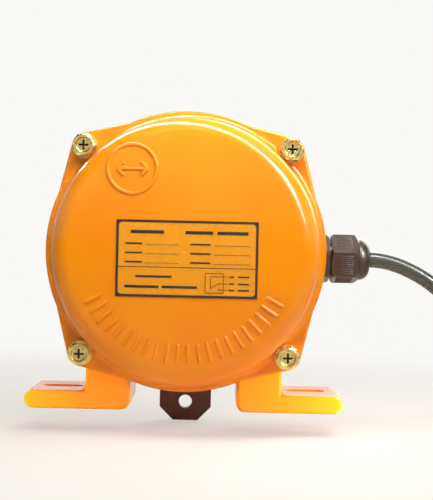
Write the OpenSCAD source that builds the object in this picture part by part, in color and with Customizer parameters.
// Two-way rope pull switch: a cast housing on two slotted feet, a pull arm that hangs
// behind it, a cam on the arm's shaft, and two snap switches that the cam works.
//
// Frame: X to the right, Y to the back, Z up, in millimetres. The origin lies in the
// mounting plane under the feet, halfway between the slots.
// "t" below is the distance in front of the middle of the body's depth, so t = -y.

/* [Housing] */
// Side of the square that the four cover screws stand on
screw_pitch = 100; // [98:0.5:120]
// How far the round flange's edge lies inside the screws' circle
screw_overhang = 2.7; // [2:0.1:4]
// Depth of the body casting and of the feet, front to back
body_depth = 45; // [45:0.5:56]
// Wall of the round cup
wall = 4.5; // [3.5:0.1:5.4]
// Thickness of the body's flange and of the cover's flange
flange_t = 5; // [4:0.1:6]
// Step from the flange's edge in to the cup's wall
cup_step = 3; // [2:0.1:4]
// Rounding of the cup's rear edge
cup_edge_r = 7; // [4:0.5:9]
// Draft of the cup's wall, in degrees
cup_draft = 3; // [1:0.25:4]

/* [Cover] */
// Height of the dome in front of the cover's flange
dome_height = 19.5; // [16:0.5:24]
// Step from the flange's edge in to the foot of the dome
dome_step = 4; // [3:0.1:5]
// Rounding of the dome's front edge
dome_edge_r = 9; // [6:0.5:12]
// Height of the shallow crown on the dome's front
dome_crown = 1.2; // [0.5:0.1:3]
// Draft of the dome's wall, in degrees
dome_draft = 2; // [0.5:0.25:4]
// Fillet between dome and flange
dome_fillet_r = 3.5; // [2:0.1:5]
// Wall of the cover
cover_wall = 4; // [3:0.1:5]
// Rounding of the flange's front edge
flange_edge_r = 1.5; // [0.8:0.1:2]
// Depth of the spigot that centres the cover in the body
spigot_h = 4; // [2:0.5:6]
// Thickness of the flat gasket
gasket_t = 1; // [0.5:0.1:2]

/* [Cover screws] */
// Nominal diameter of the cover screws
screw_d = 6; // [5:1:6]
// Radius of the ears that the screws pass through
ear_r = 6.5; // [6.5:0.1:8]
// Radius of the round pocket that each screw head sits in
pocket_r = 7.5; // [6.5:0.1:8.5]
// Screw length under the head
screw_l = 20; // [18:1:25]
// Width of the hexagon head across its flats
head_af = 10; // [8:0.5:10]
// Height of the hexagon head
head_h = 4; // [3.5:0.1:5]

/* [Feet] */
// Overall width across both feet
foot_span = 156; // [150:1:188]
// Thickness of the foot plates
foot_t = 9; // [7:0.5:11]
// Clear width between the two legs
leg_gap = 52; // [46:1:56]
// Width of each leg
leg_w = 22; // [18:0.5:24]
// Rounding of the edges of legs and feet
leg_edge_r = 1.6; // [0.8:0.1:2.4]
// Fillet between leg and foot
web_r = 3; // [1.5:0.5:5]
// Height of the flange's lowest point above the mounting plane
ground_clearance = 10; // [6:0.5:14]
// Distance between the two slots' centres
slot_pitch = 122; // [120:0.5:126]
// Width of the slots, for an M8 bolt
slot_w = 9; // [6.6:0.1:10]
// Length of the slots, end to end
slot_l = 20; // [14:0.5:24]

/* [Pull arm] */
// Width of the arm
arm_w = 27; // [24:0.5:34]
// Thickness of the arm
arm_t = 5; // [4:0.5:6]
// How far the arm's tip hangs below the mounting plane
arm_drop = 11; // [8:0.5:20]
// Chamfer on the two corners of the tip
arm_chamfer = 7; // [4:0.5:9]
// Diameter of the rope hole
rope_hole_d = 7; // [6:0.5:9]
// Distance from the rope hole's centre to the tip
rope_hole_edge = 9.8; // [8:0.1:14]

/* [Shaft] */
// Diameter of the shaft in its bush
shaft_d = 12; // [10:0.5:14.4]
// Diameter of the threaded end
shaft_thread_d = 10; // [8:1:10]
// Wall of the bush
bush_wall = 2; // [1.5:0.5:3]
// Radius of the bearing boss on the body's rear face
boss_r = 17; // [15:0.5:22]
// Height of the bearing boss behind the body's rear face
boss_out = 4; // [3:0.5:6]
// Radial clearance of everything that turns on a pin or shaft
running = 0.05; // [0.02:0.01:0.08]

/* [Cam and levers] */
// Thickness of the cam
cam_t = 6; // [5:0.5:6]
// Radius of the cam where the rollers touch it at rest
cam_r = 14; // [13:0.5:15]
// Turn of a lever for each degree that the arm swings
lever_ratio = 0.26; // [0.2:0.01:0.27]
// Swing of the arm to each side, in degrees
swing = 30; // [20:1:30]
// Radius of the rollers
roller_r = 4; // [3.5:0.1:4.4]
// Width of the rollers
roller_w = 4.8; // [4:0.1:5]
// Distance of the lever's hinge from the shaft's axis, sideways and upwards
hinge_x = 25.9; // [25:0.1:27]
hinge_z = 22; // [20:0.5:24]
// Gap between cam and roller
cam_gap = 0.3; // [0.2:0.05:0.4]

/* [Snap switches] */
// Length of a switch's case
switch_l = 27.8; // [27:0.1:30]
// Depth of a switch's case, across its plunger face
switch_h = 15.9; // [15:0.1:17]
// Thickness of a switch's case
switch_t = 10.3; // [9:0.1:10.4]
// Distance between a switch's two screws
switch_hole_pitch = 22.2; // [21:0.1:23]
// Height of the plunger above the shaft's axis
plunger_z = 12; // [10:0.5:14]
// Thickness of the bracket's plate
bracket_t = 2; // [1.5:0.5:3]

/* [Return spring] */
// Diameter of the spring's wire
spring_wire_d = 2.2; // [1.5:0.1:2.2]
// Play between the cam's hub and the inside of the coils
spring_play = 1; // [0.6:0.1:1.6]
// Gap between two turns of the coil
coil_gap = 0.25; // [0.15:0.05:0.4]
// Diameter of the two pins between the spring's legs
spring_pin_d = 4; // [3:0.5:4.8]
// Gap between the coils and the cam's drive pin
pin_play = 0.4; // [0.2:0.1:0.6]
// Distance of the fixed spring post from the shaft's axis
post_at = 23; // [22.5:0.5:26]

/* [Cable gland] */
// Width across the flats of the gland's hexagons
gland_af = 22; // [20:0.5:24]
// Diameter of the gland's thread in the housing
gland_thread_d = 18.6; // [15:0.1:19]
// How far the gland's axis lies below the shaft's axis
gland_drop = 2; // [0:0.5:4]
// Turn of the hexagons from flat to the front, in degrees
gland_turn = 15; // [0:1:30]
// Length of the gland nut
gland_nut_l = 19.7; // [18:0.1:22]
// Diameter of the cable
cable_d = 8; // [6:0.5:8]

/* [Rating label] */
// Width of the label
label_w = 66.5; // [50:0.5:76]
// Height of the label
label_h = 36; // [28:0.5:42]
// Thickness of the label
label_t = 0.25; // [0.2:0.05:0.5]
// Distance of the label's middle from the shaft's axis, sideways and upwards
label_x = 1; // [-3:0.5:3]
label_z = -3.5; // [-6:0.5:2]

/* [Hidden] */

// Facets of round surfaces: large, middle and small ones
fn_large = 160;
fn_mid = 64;
fn_small = 32;
eps = 0.01;

// Radii, from the screws' square inwards
screw_at = screw_pitch / 2;
flange_r = screw_at * sqrt(2) - screw_overhang;
cup_r = flange_r - cup_step;
cavity_r = cup_r - wall;
dome_r = flange_r - dome_step;
spigot_wall = 3;
spigot_r = cavity_r - 0.3;
axis_z = flange_r + ground_clearance;

// Planes, from front to back
front_t = body_depth / 2;
back_t = -body_depth / 2;
floor_t = back_t + wall;
cover_t = front_t + gasket_t;
rim_t = cover_t + flange_t;
top_t = rim_t + dome_height;
ledge_t = cover_t + 3;
spigot_t = cover_t - gasket_t - spigot_h;
boss_face_t = back_t - boss_out;

// Cover screw stack on the rim, from the rim forward
flat_washer_t = 1.6;
spring_washer_t = 1.6;
head_t = rim_t + flat_washer_t + spring_washer_t;
thread_clearance = 0.05;

// Return spring, from the cam to the back
wire_r = spring_wire_d / 2;
spring_turns = 2;
spring_front_t = -cam_t / 2 - wire_r - 0.4;
spring_back_t = spring_front_t - spring_turns * (spring_wire_d + coil_gap);

// Shaft line
bush_r = shaft_d / 2 + bush_wall;
bush_flange_t = 1;
bush_flange_r = bush_r + 2;
seal_r = bush_r + 2;
seal_t = 3.5;
thrust_t = 1;
end_play = 0.2;
hub_back_t = spring_back_t - wire_r - 0.3;
inner_boss_t = hub_back_t - end_play - thrust_t - bush_flange_t;
hub_r = shaft_d / 2 + 2.2;
flat_cut = 1;
circlip_t = 1;
arm_gap = 1;
arm_front_t = boss_face_t - arm_gap;
arm_back_t = arm_front_t - arm_t;
arm_washer_t = 1.6;
nut_t = 6;
nut_af = 1.7 * shaft_thread_d;

// Cam and levers: the roller's centre at rest, seen from the hinge
roller_at = cam_r + cam_gap + roller_r;
hinge = [hinge_x, hinge_z];
lever_arm = [roller_at, 0] - hinge;
flank_turn = swing + 5;
pin_wall = 1.9;
roller_pin_r = 1;
lever_pin_r = 0.8;
knuckle_r = lever_pin_r + 0.7;
lever_t = 0.8;
lever_w = 6.4;
lever_side_t = 0.6;
strip_clear = 0.4;
strip_x = roller_at + roller_r + strip_clear;
plunger_r = 1.5;
plunger_gap = 0.22;
lug_t = 1.2;

// Snap switches: the plunger's face, and the ends of the case
switch_x = hinge_x + knuckle_r + 0.3;
switch_top = hinge_z + 2;
switch_hole_x = switch_x + 12;
switch_hole_top = switch_top - (switch_l - switch_hole_pitch) / 2;
switch_screw_d = 3;
tab_l = 6;
tab_w = 4.8;
tab_t = 0.8;
tab_z = [switch_top - 4, switch_top - 14, switch_top - 25];
bracket_front_t = -switch_t / 2;
bracket_back_t = bracket_front_t - bracket_t;
bracket_r = cavity_r - 6;
bracket_mouth = 19;
standoff_r = 5;
standoff_at = [[40, 31], [38, -14]];
bracket_screw_d = 4;

// Spring coils around the hub, its two pins, and its legs
spring_r = hub_r + spring_play + wire_r;
spring_pin_r = spring_pin_d / 2;
drive_pin_at = spring_r + wire_r + pin_play + spring_pin_r;
leg_x = spring_pin_r + wire_r + 0.1;
leg_angle = asin(leg_x / spring_r);
leg_end = post_at + spring_pin_r + 2;

// Cable gland, from the housing outwards along X
gland_z = axis_z - gland_drop;
gland_boss_r = 14;
gland_boss_x = cup_r + 1;
gland_inner_x = cavity_r - 2;
gland_washer_t = 1;
gland_hex_l = 4.2;
gland_neck_l = 1.1;
gland_hex_x = gland_boss_x + gland_washer_t;
gland_neck_x = gland_hex_x + gland_hex_l;
gland_nut_x = gland_neck_x + gland_neck_l;
gland_end_x = gland_nut_x + gland_nut_l;
locknut_t = 3.5;
gland_tip_x = gland_inner_x - locknut_t - 0.5;
clamp_r = gland_thread_d / 2 - 0.5;
nut_dome_r = gland_af / 2 - 0.6;
cable_r = cable_d / 2;
seal_x = gland_neck_x + 3;
nut_bore_l = 11.5;

// Free cable: its route from the gland down to the coil, and the coil it ends in
rest_z = -11.5;
tie_w = 3;
tie_t = 0.8;
coil_z = rest_z + tie_t;
bundle_h = 1.87 * cable_d;
coil_at = [195, 42];
coil_r = 44;
cable_route = [
  [92.02, 0, 76], [96, 0, 75.8], [102, -0.1, 74.8], [109, -0.5, 72.6], [117, -1.2, 68.8],
  [124.5, -2.2, 63.9], [131.5, -3.3, 57.8], [138, -4.3, 50.2], [143.5, -5.1, 41.2],
  [148, -5.6, 31], [152.5, -5.9, 20.5], [158.5, -6, 10.3], [166.5, -6, 1.9], [176, -6, -4.1],
  [186, -6, -6.7], [195, -6, -6.7]
];
tail_r = 1.2;
tail_angle = 164;

// ---------------------------------------------------------------- helpers

// Stands children on the plane t, with their Z axis pointing forward on the shaft's axis
module on_axis(t = 0) translate([0, -t, axis_z]) rotate([90, 0, 0]) children();

// Plate between two planes, from an outline in X and Z around the shaft's axis
module slab(t0, t1) on_axis(t0) linear_extrude(t1 - t0) children();

// Body of revolution about the shaft's axis, from an outline of radius and t
module turned(fn = fn_large) on_axis() rotate_extrude($fn = fn) children();

// Ring about the current Z axis
module ring(r_out, r_in, h, fn = fn_mid) difference() {
  cylinder(r = r_out, h = h, $fn = fn);
  translate([0, 0, -1]) cylinder(r = r_in, h = h + 2, $fn = fn);
}

// Stands children on the gland's axis at x, with their Z axis pointing to the right
module on_gland(x) translate([x, 0, gland_z]) rotate([0, 90, 0]) children();

// Repeats children at the four cover screws
module at_screws() for (sx = [-1, 1], sz = [-1, 1])
  translate([sx * screw_at, sz * screw_at]) children();

// Repeats children at the bracket's four standoffs
module at_standoffs() for (side = [-1, 1], p = standoff_at)
  translate([side * p[0], p[1]]) children();

// Repeats children at the two screws of one switch
module at_switch_holes() for (k = [0, 1])
  translate([switch_hole_x, switch_hole_top - k * switch_hole_pitch]) children();

// Draws children on the right (side = 1) or mirrors them to the left (side = -1)
module to_side(side) mirror([side < 0 ? 1 : 0, 0, 0]) children();

// Hexagon prism with both ends chamfered, standing on Z
module hex_nut(af, h, bore_r) difference() {
  intersection() {
    cylinder(d = af / cos(30), h = h, $fn = 6);
    translate([0, 0, h / 2]) for (up = [0, 1]) mirror([0, 0, up])
      translate([0, 0, -eps]) cylinder(r1 = af / 2 + h / 2, r2 = af / 2 - 0.1, h = h / 2 + 2 * eps, $fn = fn_mid);
    cylinder(d = af / cos(30), h = h, $fn = fn_mid);
  }
  translate([0, 0, -1]) cylinder(r = bore_r, h = h + 2, $fn = fn_mid);
}

function polar(r, a) = r * [cos(a), sin(a)];
function turn(p, a) = [p[0] * cos(a) - p[1] * sin(a), p[0] * sin(a) + p[1] * cos(a)];
function unit(v) = v / norm(v);
function arc(c, r, a0, a1, n) = [for (i = [0:n]) c + polar(r, a0 + (a1 - a0) * i / n)];
function flip(pts) = [for (i = [len(pts) - 1:-1:0]) [-pts[i][0], pts[i][1]]];

// Round tube swept along a list of points, its rings turned as little as possible
function heading(p, i) = unit(p[min(i + 1, len(p) - 1)] - p[max(i - 1, 0)]);
function frames(p, ref, i = 0) = i == len(p) ? [] :
  let (h = heading(p, i), s = unit(ref - h * (ref * h)))
  concat([[s, cross(h, s)]], frames(p, s, i + 1));
module tube(path, r, sides = 8, ref = [0, 1, 0]) {
  f = frames(path, ref);
  n = len(path);
  points = [for (i = [0:n - 1], k = [0:sides - 1])
    path[i] + r * (cos(360 * k / sides) * f[i][0] + sin(360 * k / sides) * f[i][1])];
  walls = [for (i = [0:n - 2], k = [0:sides - 1]) let (m = (k + 1) % sides)
    each [[i * sides + k, (i + 1) * sides + k, i * sides + m],
          [i * sides + m, (i + 1) * sides + k, (i + 1) * sides + m]]];
  ends = [[for (k = [0:sides - 1]) k], [for (k = [sides - 1:-1:0]) (n - 1) * sides + k]];
  polyhedron(points, concat(ends, walls));
}

// Smooth curve through a few points, with n steps between each two of them
function spline_at(a, b, c, d, u) =
  0.5 * (2 * b + (c - a) * u + (2 * a - 5 * b + 4 * c - d) * u * u
    + (3 * b - a - 3 * c + d) * u * u * u);
function spline(p, n) = concat(
  [for (i = [0:len(p) - 2], k = [0:n - 1])
    spline_at(p[max(i - 1, 0)], p[i], p[i + 1], p[min(i + 2, len(p) - 1)], k / n)],
  [p[len(p) - 1]]);

// ---------------------------------------------------------------- outlines

// Round flange with four ears, its corners blended to the circle by straight sides
ear_reach = screw_at * sqrt(2);
function ear_tilt(r_blend, r_ear) = acos((r_blend - r_ear) / ear_reach);
module eared_outline(r, r_blend, r_ear) {
  tilt = ear_tilt(r_blend, r_ear);
  circle(r = r, $fn = fn_large);
  for (q = [45:90:315]) {
    centre = polar(ear_reach, q);
    translate(centre) circle(r = r_ear, $fn = fn_mid);
    side_r = r_ear - eps;
    polygon([[0, 0], polar(r_blend, q - tilt), centre + polar(side_r, q - tilt),
      centre + polar(side_r, q + tilt), polar(r_blend, q + tilt)]);
  }
}

// Fillet in the corner between the leg's outer side and the top of the foot
module web_outline() difference() {
  translate([-0.5, -0.5]) square(web_r + 0.5);
  translate([web_r, web_r]) circle(r = web_r, $fn = fn_mid);
}

// Front of the cover in radius and t: wall with draft, rounded edge, crowned front
dome_edge_t = top_t - dome_crown - dome_edge_r;
dome_edge_at = dome_r - (dome_edge_t - rim_t) * tan(dome_draft) - dome_edge_r;
crown_r = (pow(dome_edge_at, 2) + pow(dome_crown, 2)) / (2 * dome_crown);
crown_a = asin(dome_edge_at / crown_r);
function dome_front(inset) = concat(
  arc([dome_edge_at, dome_edge_t], dome_edge_r - inset, dome_draft, 90 - crown_a, 14),
  [for (i = [1:8]) let (a = crown_a * (1 - i / 8))
    [(crown_r - inset) * sin(a), top_t - crown_r + (crown_r - inset) * cos(a)]]
);

// Dome with a straight foot that starts at the plane foot_t, made smaller by inset
module dome_outline(inset, foot_t) {
  wall_foot = dome_r - inset + (rim_t - foot_t) * tan(dome_draft);
  polygon(concat([[0, foot_t], [wall_foot, foot_t]], dome_front(inset)));
}

// Dome with the fillet at its foot
module filleted_dome_outline() {
  fillet_at = dome_r + dome_fillet_r;
  polygon(concat(
    [[0, cover_t + 1], [fillet_at, cover_t + 1]],
    arc([fillet_at, rim_t + dome_fillet_r], dome_fillet_r, -90, -180 + dome_draft, 8),
    dome_front(0)
  ));
}

// ---------------------------------------------------------------- housing

module cup_outline() {
  edge_at = cup_r - (front_t - back_t - cup_edge_r) * tan(cup_draft) - cup_edge_r;
  polygon(concat(
    [[0, front_t - eps], [cup_r, front_t - eps]],
    arc([edge_at, back_t + cup_edge_r], cup_edge_r, -cup_draft, -90, 12),
    [[0, back_t]]
  ));
}

module cavity_outline() {
  inner_edge_r = cup_edge_r - 2;
  foot_at = cavity_r - (front_t - floor_t - inner_edge_r) * tan(cup_draft) - inner_edge_r;
  polygon(concat(
    [[0, front_t + 1], [cavity_r, front_t + 1], [cavity_r, front_t - spigot_h - 1]],
    arc([foot_at, floor_t + inner_edge_r], inner_edge_r, -cup_draft, -90, 8),
    [[0, floor_t]]
  ));
}

// Bar across the body's depth at x and z, with rounded rims
module cross_bar(x, z, r) translate([x, body_depth / 2, z]) rotate([90, 0, 0])
  rotate_extrude($fn = fn_small) polygon(concat(
    [[0, 0]], arc([r - leg_edge_r, leg_edge_r], leg_edge_r, -90, 0, 3),
    arc([r - leg_edge_r, body_depth - leg_edge_r], leg_edge_r, 0, 90, 3), [[0, body_depth]]
  ));

// Leg and foot on the right: two blocks with all their edges rounded, and a fillet between
module leg() {
  end_r = foot_t / 2;
  inner_x = leg_gap / 2 + end_r;
  outer_x = leg_gap / 2 + leg_w;
  leg_top = axis_z - cup_r * 0.6;
  hull() for (x = [inner_x, outer_x - end_r], z = [end_r, leg_top]) cross_bar(x, z, end_r);
  hull() for (x = [inner_x + leg_edge_r, foot_span / 2 - end_r]) cross_bar(x, end_r, end_r);
  translate([outer_x, body_depth / 2 - leg_edge_r, foot_t]) rotate([90, 0, 0])
    linear_extrude(body_depth - 2 * leg_edge_r) web_outline();
}

module slot(r, l) {
  for (end = [-1, 1]) translate([end * (l / 2 - r), 0, 0]) cylinder(r = r, h = foot_t + 2, $fn = fn_mid);
  translate([r - l / 2, -r, 0]) cube([l - 2 * r, 2 * r, foot_t + 2]);
}

module body_casting() color([0.96, 0.64, 0.1]) difference() {
  union() {
    difference() {
      union() {
        turned() cup_outline();
        slab(front_t - flange_t, front_t) eared_outline(flange_r - 0.4, flange_r - 1.4, ear_r - 0.4);
        slab(front_t - 16, front_t - flange_t + eps) eared_outline(cup_r - 2, cup_r - 4, ear_r - 0.8);
        for (side = [-1, 1]) to_side(side) leg();
        on_gland(cavity_r - 2) cylinder(r = gland_boss_r, h = gland_boss_x - cavity_r + 2, $fn = fn_mid);
        slab(boss_face_t, back_t + eps) circle(r = boss_r, $fn = fn_mid);
      }
      turned() cavity_outline();
    }
    intersection() {
      on_gland(gland_inner_x) cylinder(r = gland_boss_r, h = wall + 3, $fn = fn_mid);
      turned() cup_outline();
    }
    slab(floor_t - eps, inner_boss_t) circle(r = boss_r - 3, $fn = fn_mid);
    slab(floor_t - eps, bracket_back_t) at_standoffs() circle(r = standoff_r, $fn = fn_small);
    on_axis(floor_t - eps) translate([0, -post_at, 0]) cylinder(r = spring_pin_r + 2, h = 3, $fn = fn_small);
  }
  on_axis(boss_face_t - 1) cylinder(r = bush_r, h = inner_boss_t - boss_face_t + 2, $fn = fn_mid);
  on_axis(boss_face_t - 1) cylinder(r = seal_r, h = seal_t + 1, $fn = fn_mid);
  on_gland(gland_inner_x - locknut_t - 1) cylinder(r = gland_boss_r, h = locknut_t + 1, $fn = fn_mid);
  on_gland(gland_inner_x - 1)
    cylinder(r = gland_thread_d / 2 + thread_clearance, h = gland_boss_x - gland_inner_x + 2, $fn = fn_mid);
  on_axis(front_t - 15) at_screws()
    cylinder(r = screw_d / 2 + thread_clearance, h = 16, $fn = fn_small);
  on_axis(bracket_back_t - 8) at_standoffs()
    cylinder(r = bracket_screw_d / 2 + thread_clearance, h = 9, $fn = fn_small);
  on_axis(floor_t - 2) translate([0, -post_at, 0]) cylinder(r = spring_pin_r, h = 8, $fn = fn_small);
  for (side = [-1, 1]) translate([side * slot_pitch / 2, 0, -1]) slot(slot_w / 2, slot_l);
}

// Disc with a rounded front edge
module rounded_disc(r, fn) rotate_extrude($fn = fn) polygon(concat(
  [[0, 0], [r, 0]],
  arc([r - flange_edge_r, flange_t - flange_edge_r], flange_edge_r, 0, 90, 5),
  [[0, flange_t]]
));

module cover() color([0.98, 0.66, 0.1]) difference() {
  union() {
    on_axis(cover_t) {
      rounded_disc(flange_r, fn_large);
      hull() {
        rounded_disc(flange_r - 1, fn_mid);
        at_screws() rounded_disc(ear_r, fn_small);
      }
    }
    turned() filleted_dome_outline();
    slab(spigot_t, cover_t + 1) circle(r = spigot_r, $fn = fn_large);
  }
  turned() dome_outline(cover_wall, ledge_t);
  slab(spigot_t - 1, ledge_t + eps) circle(r = spigot_r - spigot_wall, $fn = fn_large);
  on_axis(cover_t - 1) at_screws() cylinder(r = screw_d / 2 + 0.3, h = flange_t + 2, $fn = fn_small);
  on_axis(rim_t) at_screws() cylinder(r = pocket_r, h = dome_height, $fn = fn_mid);
}

module cover_gasket() color([0.15, 0.15, 0.15]) difference() {
  slab(front_t, cover_t) eared_outline(flange_r - 1.4, flange_r - 2.4, ear_r - 1);
  on_axis(front_t - 1) cylinder(r = cavity_r, h = gasket_t + 2, $fn = fn_large);
  on_axis(front_t - 1) at_screws() cylinder(r = screw_d / 2 + 0.4, h = gasket_t + 2, $fn = fn_small);
}

module cover_screw() difference() {
  union() {
    intersection() {
      cylinder(d = head_af / cos(30), h = head_h, $fn = 6);
      union() {
        cylinder(d = head_af / cos(30), h = head_h - 0.7, $fn = fn_mid);
        translate([0, 0, head_h - 0.7])
          cylinder(d1 = head_af / cos(30), d2 = head_af - 0.6, h = 0.7, $fn = fn_mid);
      }
    }
    translate([0, 0, -screw_l]) cylinder(d = screw_d, h = screw_l + eps, $fn = fn_small);
  }
  translate([0, 0, head_h - 0.8]) cylinder(r1 = head_af * 0.32, r2 = head_af * 0.38, h = 0.8 + eps, $fn = fn_mid);
  for (a = [0, 90]) rotate(a) translate([-head_af * 0.24, -0.5, head_h - 2.6])
    cube([head_af * 0.48, 1, 2.6]);
}

module cover_screws() color([0.8, 0.68, 0.35]) on_axis(head_t) at_screws() cover_screw();

module cover_spring_washers() color([0.75, 0.62, 0.3])
  on_axis(rim_t + flat_washer_t) at_screws() split_ring(screw_d * 0.83, screw_d / 2 + 0.15, spring_washer_t);

module cover_flat_washers() color([0.8, 0.68, 0.35])
  on_axis(rim_t) at_screws() ring(ear_r - 0.5, screw_d / 2 + 0.2, flat_washer_t);

// Spring lock washer: a ring with one slanting cut
module split_ring(r_out, r_in, h) difference() {
  ring(r_out, r_in, h);
  translate([0, 0, h / 2]) rotate([0, 30, 0]) translate([-0.4, 0, -h * 2])
    cube([0.8, r_out + 1, 4 * h]);
}

module rating_label() color([0.98, 0.7, 0.2]) difference() {
  intersection() {
    slab(rim_t + dome_height / 2, top_t + 1) translate([label_x, label_z])
      square([label_w, label_h], center = true);
    turned() dome_outline(-label_t, rim_t);
  }
  turned() dome_outline(0, rim_t);
}

// ---------------------------------------------------------------- shaft and pull arm

module shaft_bush() color([0.72, 0.52, 0.25]) {
  on_axis(boss_face_t + seal_t) ring(bush_r, shaft_d / 2 + running, inner_boss_t - boss_face_t - seal_t);
  on_axis(inner_boss_t) ring(bush_flange_r, shaft_d / 2 + running, bush_flange_t);
}

module shaft_seal() color([0.12, 0.12, 0.12]) on_axis(boss_face_t) difference() {
  ring(seal_r, shaft_d / 2 + running, seal_t - thread_clearance);
  translate([0, 0, -1]) ring(seal_r - 1.2, shaft_d / 2 + 1, 1.8);
}

module thrust_washer() color([0.75, 0.75, 0.78])
  on_axis(inner_boss_t + bush_flange_t) ring(bush_flange_r - 1, shaft_d / 2 + running, thrust_t);

// Cross-section of the shaft's cam seat: a circle with one flat on top
module shaft_seat(r) difference() {
  circle(r = r, $fn = fn_mid);
  translate([-r, shaft_d / 2 - flat_cut + r - shaft_d / 2]) square([2 * r, r]);
}

// Cross-section of the shaft's arm seat: a circle with two flats
module arm_seat(grow) intersection() {
  circle(d = shaft_thread_d + 2 * grow, $fn = fn_mid);
  square([0.8 * shaft_thread_d + 2 * grow, 2 * shaft_thread_d], center = true);
}

module shaft() color([0.7, 0.7, 0.73]) difference() {
  union() {
    slab(arm_front_t, hub_back_t) circle(d = shaft_d, $fn = fn_mid);
    slab(hub_back_t - eps, cam_t / 2 + circlip_t + 1.5) shaft_seat(shaft_d / 2);
    slab(arm_back_t, arm_front_t + eps) arm_seat(0);
    slab(arm_back_t - 2 * arm_washer_t - nut_t - 2, arm_back_t + eps)
      circle(d = shaft_thread_d, $fn = fn_mid);
  }
  on_axis(cam_t / 2) ring(shaft_d, shaft_d / 2 - 0.7, circlip_t);
}

module arm_outline() {
  tip = -axis_z - arm_drop;
  hub = arm_w / 2;
  circle(r = hub, $fn = fn_mid);
  polygon([[-hub, 0], [-hub, tip + arm_chamfer], [arm_chamfer - hub, tip], [hub - arm_chamfer, tip],
    [hub, tip + arm_chamfer], [hub, 0]]);
}

module pull_arm() color([0.28, 0.17, 0.12]) difference() {
  slab(arm_back_t, arm_front_t) difference() {
    arm_outline();
    arm_seat(thread_clearance);
  }
  on_axis(arm_back_t - 1) translate([0, rope_hole_edge - axis_z - arm_drop, 0])
    cylinder(d = rope_hole_d, h = arm_t + 2, $fn = fn_mid);
}

module arm_washer() color([0.8, 0.68, 0.35])
  on_axis(arm_back_t - arm_washer_t) ring(shaft_thread_d, shaft_thread_d / 2 + 0.2, arm_washer_t);

module arm_spring_washer() color([0.75, 0.62, 0.3])
  on_axis(arm_back_t - 2 * arm_washer_t)
    split_ring(0.8 * shaft_thread_d, shaft_thread_d / 2 + 0.2, arm_washer_t);

module arm_nut() color([0.8, 0.68, 0.35])
  on_axis(arm_back_t - 2 * arm_washer_t - nut_t)
    hex_nut(nut_af, nut_t, shaft_thread_d / 2 + thread_clearance);

// ---------------------------------------------------------------- cam, levers and rollers

// Centre of the right roller, in the cam's own frame, when the arm has swung by a degrees
function roller_path(a) = turn(hinge + turn(lever_arm, lever_ratio * a), -a);
// Point of the cam's right flank that faces the roller then
function flank(a) =
  let (d = unit(roller_path(a + 0.5) - roller_path(a - 0.5)))
  roller_path(a) + (roller_r + cam_gap) * [d[1], -d[0]];

// Cam: both flanks are cut to the rollers' own path, so each lever turns in a fixed
// ratio to the arm; a round nose below and a round heel above join them
module cam_outline() {
  right = [for (a = [-flank_turn:2.5:flank_turn]) flank(a)];
  low = right[len(right) - 1];
  high = right[0];
  low_a = atan2(low[1], low[0]);
  high_a = atan2(high[1], high[0]);
  nose_r = max(norm(low), drive_pin_at + spring_pin_r + pin_wall);
  polygon(concat(
    right,
    [for (i = [1:11]) polar(nose_r, low_a + (-180 - 2 * low_a) * i / 12)],
    flip(right),
    [for (i = [1:11]) polar(norm(high), 180 - high_a - (180 - 2 * high_a) * i / 12)]
  ));
}

module cam() color([0.6, 0.6, 0.64]) difference() {
  union() {
    slab(-cam_t / 2, cam_t / 2) difference() {
      cam_outline();
      shaft_seat(shaft_d / 2);
    }
    slab(hub_back_t, eps - cam_t / 2) difference() {
      circle(r = hub_r, $fn = fn_mid);
      shaft_seat(shaft_d / 2);
    }
  }
  on_axis(-cam_t / 2 - 1) translate([0, -drive_pin_at, 0])
    cylinder(r = spring_pin_r, h = cam_t + 2, $fn = fn_small);
}

module cam_circlip() color([0.3, 0.3, 0.32]) on_axis(cam_t / 2) difference() {
  ring(shaft_d / 2 + 1.5, shaft_d / 2 - 0.7, circlip_t);
  translate([-2, 0, -1]) cube([4, shaft_d, circlip_t + 2]);
}

module drive_pin() color([0.7, 0.7, 0.73])
  on_axis(hub_back_t + 0.4) translate([0, -drive_pin_at, 0])
    cylinder(r = spring_pin_r, h = cam_t / 2 - hub_back_t - 0.4, $fn = fn_small);

module lever(side) color([0.78, 0.78, 0.8]) on_axis(0) to_side(side) difference() {
  union() {
    translate([0, 0, -lever_w / 2]) linear_extrude(lever_w) {
      translate(hinge) circle(r = knuckle_r, $fn = fn_small);
      polygon([
        hinge + [-knuckle_r, 0], [strip_x, 0], [strip_x - 0.25, -2],
        [strip_x + lever_t - 0.25, -2], [strip_x + lever_t, 0], hinge + [lever_t - knuckle_r, 0]
      ]);
    }
    for (t = [-lever_w / 2, lever_w / 2 - lever_side_t]) translate([0, 0, t])
      linear_extrude(lever_side_t) {
        translate([roller_at, 0]) circle(r = roller_pin_r + 0.9, $fn = fn_small);
        translate([roller_at, -roller_pin_r - 0.9])
          square([strip_x - roller_at + eps, 2 * roller_pin_r + 1.8]);
      }
  }
  translate([hinge[0], hinge[1], -lever_w]) cylinder(r = lever_pin_r + running, h = 2 * lever_w, $fn = fn_small);
  translate([roller_at, 0, -lever_w]) cylinder(r = roller_pin_r, h = 2 * lever_w, $fn = fn_small);
}
module lever_left() lever(-1);
module lever_right() lever(1);

module lever_pin(side) color([0.7, 0.7, 0.73]) on_axis(-lever_w / 2 - 0.2 - lug_t) to_side(side)
  translate(hinge) cylinder(r = lever_pin_r, h = lever_w + 0.4 + 2 * lug_t, $fn = fn_small);
module lever_pin_left() lever_pin(-1);
module lever_pin_right() lever_pin(1);

module roller_pin(side) color([0.7, 0.7, 0.73]) on_axis(-lever_w / 2 - 0.2) to_side(side)
  translate([roller_at, 0]) cylinder(r = roller_pin_r, h = lever_w + 0.4, $fn = fn_small);
module roller_pin_left() roller_pin(-1);
module roller_pin_right() roller_pin(1);

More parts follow.
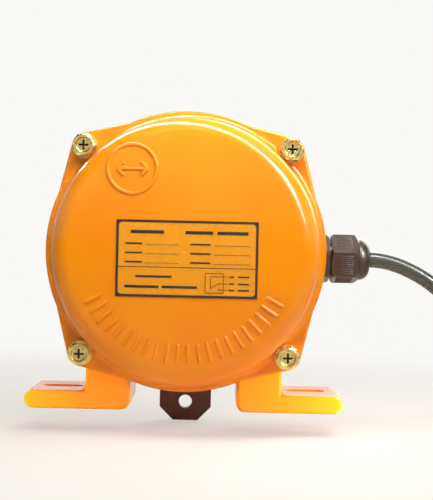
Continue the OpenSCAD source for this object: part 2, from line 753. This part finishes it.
module roller(side) color([0.9, 0.88, 0.8]) on_axis(-roller_w / 2) to_side(side)
  translate([roller_at, 0]) ring(roller_r, roller_pin_r + running, roller_w);
module roller_left() roller(-1);
module roller_right() roller(1);

// ---------------------------------------------------------------- snap switches

// Height of the lever's back face above the axis at the plunger, from the lever's slope
lever_back_x = strip_x + lever_t
  + (hinge_x - knuckle_r - strip_x) * plunger_z / hinge_z;
plunger_tip_x = lever_back_x + plunger_gap;
plunger_bore_l = 9;

module snap_switch(side) color([0.13, 0.13, 0.14]) on_axis(0) to_side(side) difference() {
  union() {
    translate([switch_x, switch_top - switch_l, -switch_t / 2]) cube([switch_h, switch_l, switch_t]);
    for (t = [-lever_w / 2 - 0.2 - lug_t, lever_w / 2 + 0.2]) translate([0, 0, t])
      linear_extrude(lug_t) {
        translate(hinge) circle(r = lever_pin_r + 0.9, $fn = fn_small);
        translate([hinge[0], hinge[1] - lever_pin_r - 0.9])
          square([switch_x - hinge[0] + eps, 2 * lever_pin_r + 1.8]);
      }
  }
  translate([hinge[0], hinge[1], -switch_t]) cylinder(r = lever_pin_r, h = 2 * switch_t, $fn = fn_small);
  translate([0, 0, -switch_t]) at_switch_holes()
    cylinder(r = switch_screw_d / 2 + thread_clearance, h = 2 * switch_t, $fn = fn_small);
  translate([switch_x - 1, plunger_z, 0]) rotate([0, 90, 0])
    cylinder(r = plunger_r + 0.1, h = plunger_bore_l + 1, $fn = fn_small);
}
module switch_left() snap_switch(-1);
module switch_right() snap_switch(1);

module plunger(side) color([0.75, 0.15, 0.1]) on_axis(0) to_side(side)
  translate([plunger_tip_x, plunger_z, 0]) rotate([0, 90, 0]) {
    cylinder(r1 = plunger_r * 0.6, r2 = plunger_r, h = 0.6, $fn = fn_small);
    translate([0, 0, 0.6 - eps]) cylinder(r = plunger_r, h = 5.5, $fn = fn_small);
  }
module plunger_left() plunger(-1);
module plunger_right() plunger(1);

module terminals(side) color([0.85, 0.75, 0.45]) on_axis(-tab_t / 2) to_side(side)
  for (z = tab_z) translate([switch_x + switch_h, z - tab_w / 2, 0]) cube([tab_l, tab_w, tab_t]);
module terminals_left() terminals(-1);
module terminals_right() terminals(1);

// Horseshoe plate that carries both switches, open below for the spring
module switch_bracket() color([0.75, 0.76, 0.78]) slab(bracket_back_t, bracket_front_t) difference() {
  intersection() {
    circle(r = bracket_r, $fn = fn_large);
    translate([-bracket_r, standoff_at[1][1] - standoff_r - 2])
      square([2 * bracket_r, standoff_at[0][1] - standoff_at[1][1] + 2 * standoff_r + 4]);
  }
  circle(r = bracket_mouth, $fn = fn_mid);
  translate([-bracket_mouth, -bracket_r]) square([2 * bracket_mouth, bracket_r]);
  at_standoffs() circle(r = bracket_screw_d / 2 + 0.2, $fn = fn_small);
  for (side = [-1, 1]) to_side(side) at_switch_holes()
    circle(r = switch_screw_d / 2 + 0.1, $fn = fn_small);
}

module bracket_screws() color([0.75, 0.76, 0.78]) on_axis(bracket_front_t) at_standoffs() {
  difference() {
    cylinder(r1 = bracket_screw_d * 0.9, r2 = bracket_screw_d * 0.75, h = 2.4, $fn = fn_small);
    for (a = [0, 90]) rotate(a) translate([-1.6, -0.4, 1]) cube([3.2, 0.8, 2]);
  }
  translate([0, 0, -bracket_t - 7]) cylinder(d = bracket_screw_d, h = bracket_t + 7 + eps, $fn = fn_small);
}

module switch_screws() color([0.75, 0.76, 0.78]) for (side = [-1, 1])
  on_axis(0) to_side(side) at_switch_holes() {
    translate([0, 0, switch_t / 2]) difference() {
      cylinder(d1 = 5.6, d2 = 4.8, h = 2, $fn = fn_small);
      translate([-3, -0.4, 1]) cube([6, 0.8, 2]);
    }
    translate([0, 0, bracket_back_t - 3]) cylinder(d = switch_screw_d, h = switch_t / 2 - bracket_back_t + 3 + eps, $fn = fn_small);
  }

module switch_nuts() color([0.75, 0.76, 0.78]) for (side = [-1, 1])
  on_axis(bracket_back_t - 2.4) to_side(side) at_switch_holes()
    hex_nut(5.5, 2.4, switch_screw_d / 2 + thread_clearance);

// ---------------------------------------------------------------- return spring

function coil_point(a, t) = [spring_r * cos(a), spring_r * sin(a), t];

// Torsion spring: both ends bend outwards and point down, one each side of the two pins
module return_spring() color([0.55, 0.56, 0.6]) on_axis(0) {
  a0 = -90 - leg_angle;
  a1 = -90 + leg_angle + 360 * spring_turns;
  steps = 20 * spring_turns;
  tube(concat(
    [[-leg_x, -leg_end, spring_back_t]],
    [for (i = [0:steps]) coil_point(a0 + (a1 - a0) * i / steps,
      spring_back_t + (spring_front_t - spring_back_t) * i / steps)],
    [[leg_x, -leg_end, spring_front_t]]
  ), wire_r, 6, [0, 0, 1]);
}

module spring_post() color([0.7, 0.7, 0.73]) on_axis(floor_t - 2) translate([0, -post_at, 0])
  cylinder(r = spring_pin_r, h = 2 - floor_t + spring_front_t + wire_r + 0.5, $fn = fn_small);

// ---------------------------------------------------------------- cable gland and wires

module gland_hex(h) rotate(gland_turn) cylinder(d = gland_af / cos(30), h = h, $fn = 6);

module gland_body() color([0.2, 0.13, 0.11]) difference() {
  union() {
    on_gland(gland_tip_x) cylinder(d = gland_thread_d, h = gland_hex_x - gland_tip_x + eps, $fn = fn_mid);
    intersection() {
      on_gland(gland_hex_x) gland_hex(gland_hex_l);
      on_gland(gland_hex_x) cylinder(r1 = gland_af / 2 + 3, r2 = gland_af / 2 + 0.6, h = gland_hex_l, $fn = fn_mid);
    }
    on_gland(gland_neck_x - eps) cylinder(r = clamp_r, h = gland_neck_l + 10, $fn = fn_mid);
  }
  on_gland(gland_tip_x - 1) cylinder(r = cable_r + 0.6, h = gland_end_x, $fn = fn_mid);
  on_gland(seal_x) cylinder(r = clamp_r - 2, h = gland_end_x, $fn = fn_mid);
}

module gland_washer() color([0.1, 0.1, 0.1])
  on_gland(gland_boss_x) ring(gland_af / 2, gland_thread_d / 2 + thread_clearance, gland_washer_t);

module gland_seal() color([0.15, 0.15, 0.15])
  on_gland(seal_x) ring(clamp_r - 2, cable_r, gland_nut_x + nut_bore_l - 0.1 - seal_x);

// Cap nut: hexagon at its root, chamfered, then rounded down to the cable
module gland_nut() color([0.22, 0.14, 0.12]) difference() {
  intersection() {
    on_gland(gland_nut_x) gland_hex(gland_nut_l);
    on_gland(gland_nut_x) rotate_extrude($fn = fn_mid) {
      hex_end = gland_nut_l - 8.2;
      polygon(concat(
        [[0, 0], [gland_af / 2 + 0.2, 0], [gland_af / cos(30) / 2 + 0.1, 1.2],
          [gland_af / cos(30) / 2 + 0.1, hex_end], [nut_dome_r, hex_end + 2.4]],
        arc([nut_dome_r - 5.2, gland_nut_l - 5.4], 5.2, 5, 88, 8),
        [[0, gland_nut_l - 0.2]]
      ));
    }
  }
  on_gland(gland_nut_x - 1) cylinder(r = clamp_r + thread_clearance, h = nut_bore_l + 1, $fn = fn_mid);
  on_gland(gland_nut_x - 1) cylinder(r = cable_r + 0.4, h = gland_nut_l + 2, $fn = fn_mid);
}

module gland_locknut() color([0.2, 0.13, 0.11])
  on_gland(gland_inner_x - locknut_t) hex_nut(gland_thread_d + 5, locknut_t, gland_thread_d / 2 + thread_clearance);

module cable_in_gland() color([0.2, 0.21, 0.21])
  on_gland(gland_tip_x - 1) cylinder(r = cable_r, h = gland_end_x - gland_tip_x + 1, $fn = fn_small);

// Wires inside. Points are [x, z, t]; each wire leaves the cable or a tab square to it.
core_r = 0.9;
cable_tip_x = gland_tip_x - 1;
core_at = 1.28 * core_r;
tab_x = switch_x + switch_h + tab_l / 2;
tab_side_x = tab_x + tab_l / 6;
tab_face_t = tab_t / 2 + 0.02;
lane_x = tab_x + tab_l / 2 + core_r + 1.1;
core_lead = 0.63 * (cable_tip_x - lane_x);
jumper_t = [9, 11.4, 13.8];

module wire(points, sides_up = [0, 1, 0.3]) {
  n = len(points) - 1;
  square_end = 0.6;
  first = points[0] + square_end * unit(points[1] - points[0]);
  last = points[n] + square_end * unit(points[n - 1] - points[n]);
  bends = spline(concat([first], [for (i = [1:n - 1]) points[i]], [last]), 4);
  tube(concat([points[0]], bends, [points[n]]), core_r, 6, sides_up);
}

// Start of core k at the cable's end: three cores in a triangle
function core_start(k) = let (p = polar(core_at, 90 - 120 * k))
  [cable_tip_x - 0.02, p[1] - gland_drop, p[0]];

// Lead from a point beside the tabs to tab k's face, on its front (dir = 1) or rear
function onto_tab(k, dir) = [
  [tab_side_x + 1.8, tab_z[k], dir * 3.9], [tab_side_x, tab_z[k], dir * 3],
  [tab_side_x, tab_z[k], dir * tab_face_t]
];

// Jumper from tab k on the right switch to the same tab on the left one
module jumper(k) {
  x = tab_x - tab_l / 4;
  half = [[x, tab_z[k], tab_face_t], [x, tab_z[k], 4], [x - 1, tab_z[k] + 4, jumper_t[k]],
    [0.55 * x, 31 + 2 * k, jumper_t[k]]];
  wire(concat(half, [[0, 34 + 2 * k, jumper_t[k]]],
    [for (i = [3:-1:0]) [-half[i][0], half[i][1], half[i][2]]]), [0, 1, 0.1]);
}

module core(k, way) on_axis(0) {
  p = core_start(k);
  wire(concat([p, p - [core_lead, 0, 0]], way, onto_tab(k, k == 2 ? -1 : 1)));
  jumper(k);
}
module wires_red() color([0.75, 0.1, 0.08]) core(2, [[lane_x, -3.6, -3]]);
module wires_blue() color([0.1, 0.25, 0.65]) core(1, [[lane_x, 1.2, 3], [lane_x - 0.5, 7, 3.9]]);
module wires_black() color([0.08, 0.08, 0.08])
  core(0, [[lane_x, 3, -2], [lane_x, 12, -1.4], [lane_x - 0.4, 18.5, 2.6]]);

// ---------------------------------------------------------------- free cable

module cord() color([0.22, 0.24, 0.24]) tube(cable_route, cable_r, 8);

// The wound length: two turns side by side below, and the last one on top in their groove
module bundle_outline(grow) polygon([
  [coil_r - cable_d - grow, -grow], [coil_r + cable_d + grow, -grow],
  [coil_r + cable_d + grow, cable_d], [coil_r + cable_r + grow, bundle_h + grow],
  [coil_r - cable_r - grow, bundle_h + grow], [coil_r - cable_d - grow, cable_d]
]);

module cord_coil() color([0.22, 0.24, 0.24]) translate([coil_at[0], coil_at[1], coil_z])
  rotate_extrude($fn = fn_mid) bundle_outline(0);

// Strap around the bundle on its right side
module cord_tie() color([0.1, 0.1, 0.1]) translate([coil_at[0], coil_at[1] + tie_w / 2, coil_z])
  rotate([90, 0, 0]) linear_extrude(tie_w) difference() {
    bundle_outline(tie_t);
    bundle_outline(0.05);
  }

// Ends of the three bared cores, laid on the upper turn and spread a little
module cord_tails() color([0.6, 0.2, 0.15]) translate([coil_at[0], coil_at[1], coil_z])
  for (k = [-1, 0, 1])
    tube([for (i = [0:5]) let (a = tail_angle + 8 * i)
      concat(polar(coil_r + k * (2.6 + 0.2 * i), a), [bundle_h + 0.2 + tail_r])], tail_r, 6, [0, 0, 1]);

body_casting();
cover();
cover_gasket();
cover_screws();
cover_spring_washers();
cover_flat_washers();
rating_label();
shaft_bush();
shaft_seal();
thrust_washer();
shaft();
pull_arm();
arm_washer();
arm_spring_washer();
arm_nut();
cam();
cam_circlip();
drive_pin();
return_spring();
spring_post();
switch_bracket();
bracket_screws();
switch_left();
switch_right();
switch_screws();
switch_nuts();
terminals_left();
terminals_right();
plunger_left();
plunger_right();
lever_pin_left();
lever_pin_right();
lever_left();
lever_right();
roller_pin_left();
roller_pin_right();
roller_left();
roller_right();
gland_body();
gland_washer();
gland_seal();
gland_nut();
gland_locknut();
cable_in_gland();
wires_red();
wires_blue();
wires_black();
cord();
cord_coil();
cord_tie();
cord_tails();
